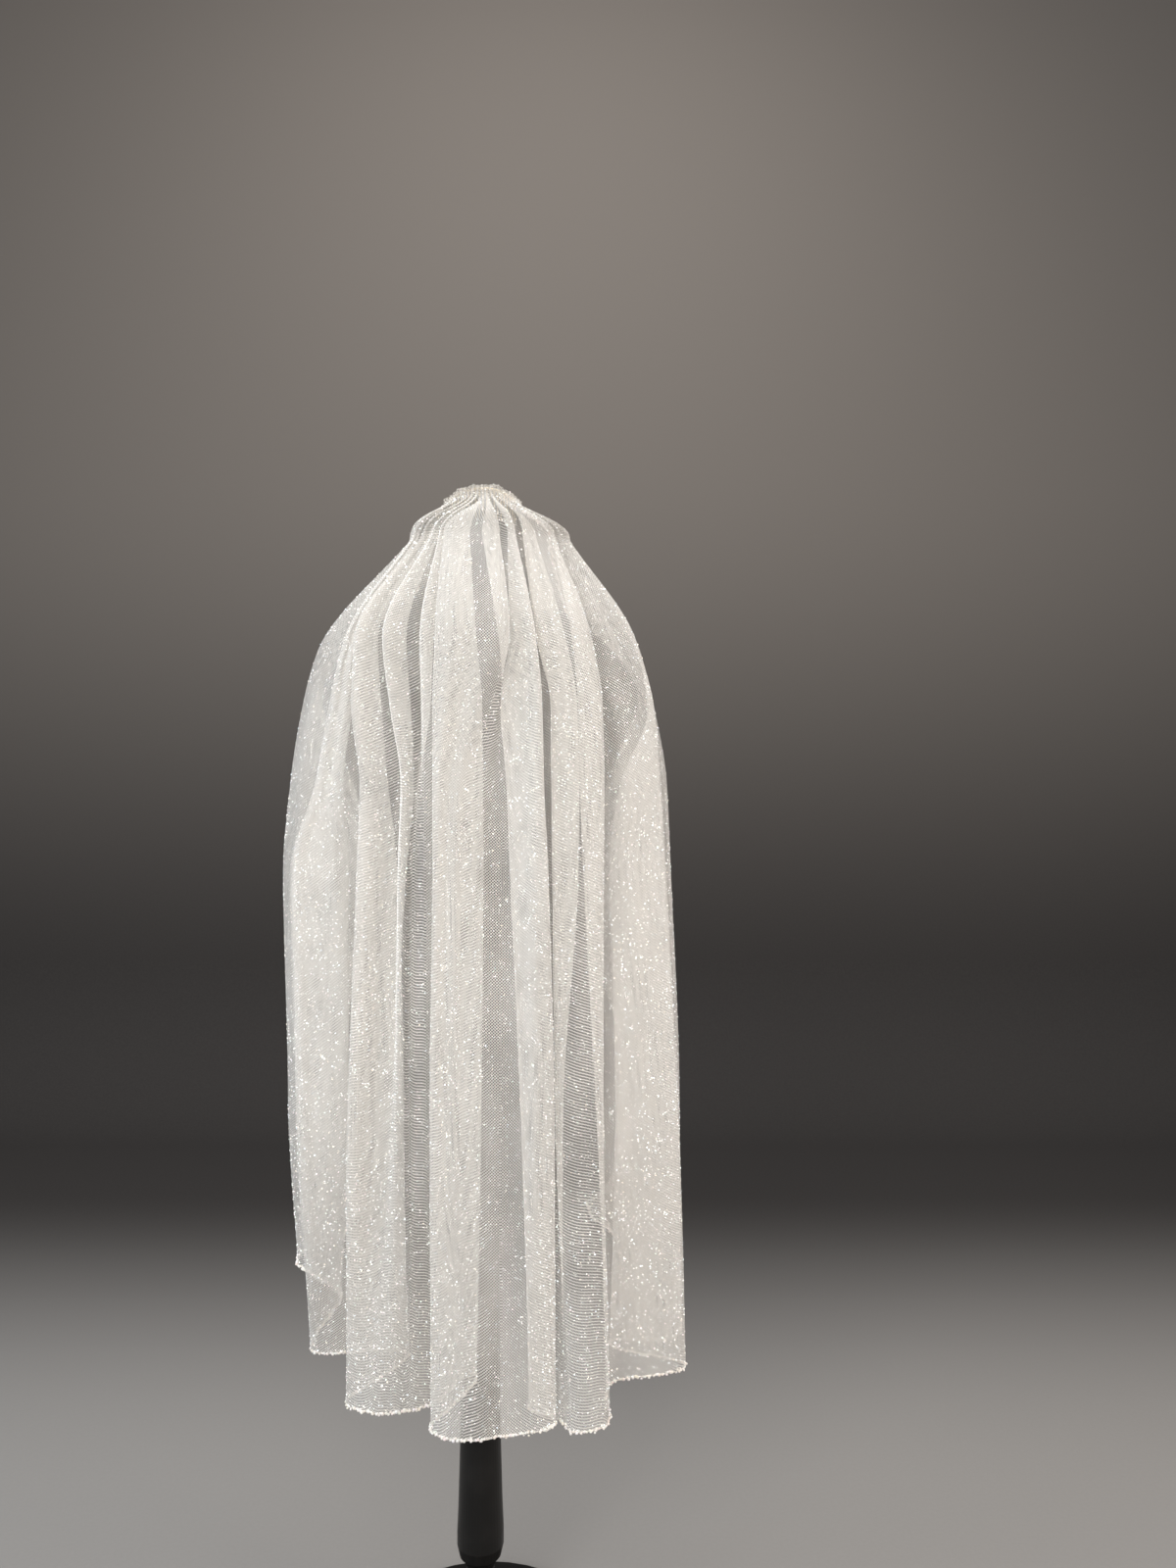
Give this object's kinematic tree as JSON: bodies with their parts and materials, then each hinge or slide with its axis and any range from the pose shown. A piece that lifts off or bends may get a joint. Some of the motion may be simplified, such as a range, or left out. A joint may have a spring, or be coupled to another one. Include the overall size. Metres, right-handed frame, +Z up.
{
  "type": "bridal veil on a dress form stand",
  "caption": "Gathered tulle bridal veil, sewn to a curved hair comb and hanging in long nested folds over a limbless dress form on a turned pole with a round foot.",
  "frame": {"origin": "middle of the round foot's underside, on the surface it stands on", "axes": "+Z up along the pole, -Y out of the veil's back, +X to the right as the back is seen"},
  "size_m": [0.4993, 0.34, 1.462],
  "materials": {
    "tulle": "soft ivory net with glitter",
    "comb_metal": "pale gold wire, polished",
    "form_jersey": "dark matte jersey",
    "black_paint": "black satin paint"
  },
  "bodies": {
    "root": {"veil_panel": "tulle", "hair_comb": "comb_metal", "dress_form": "form_jersey", "stand_pole": "black_paint", "stand_base": "black_paint"}
  },
  "joints": []
}
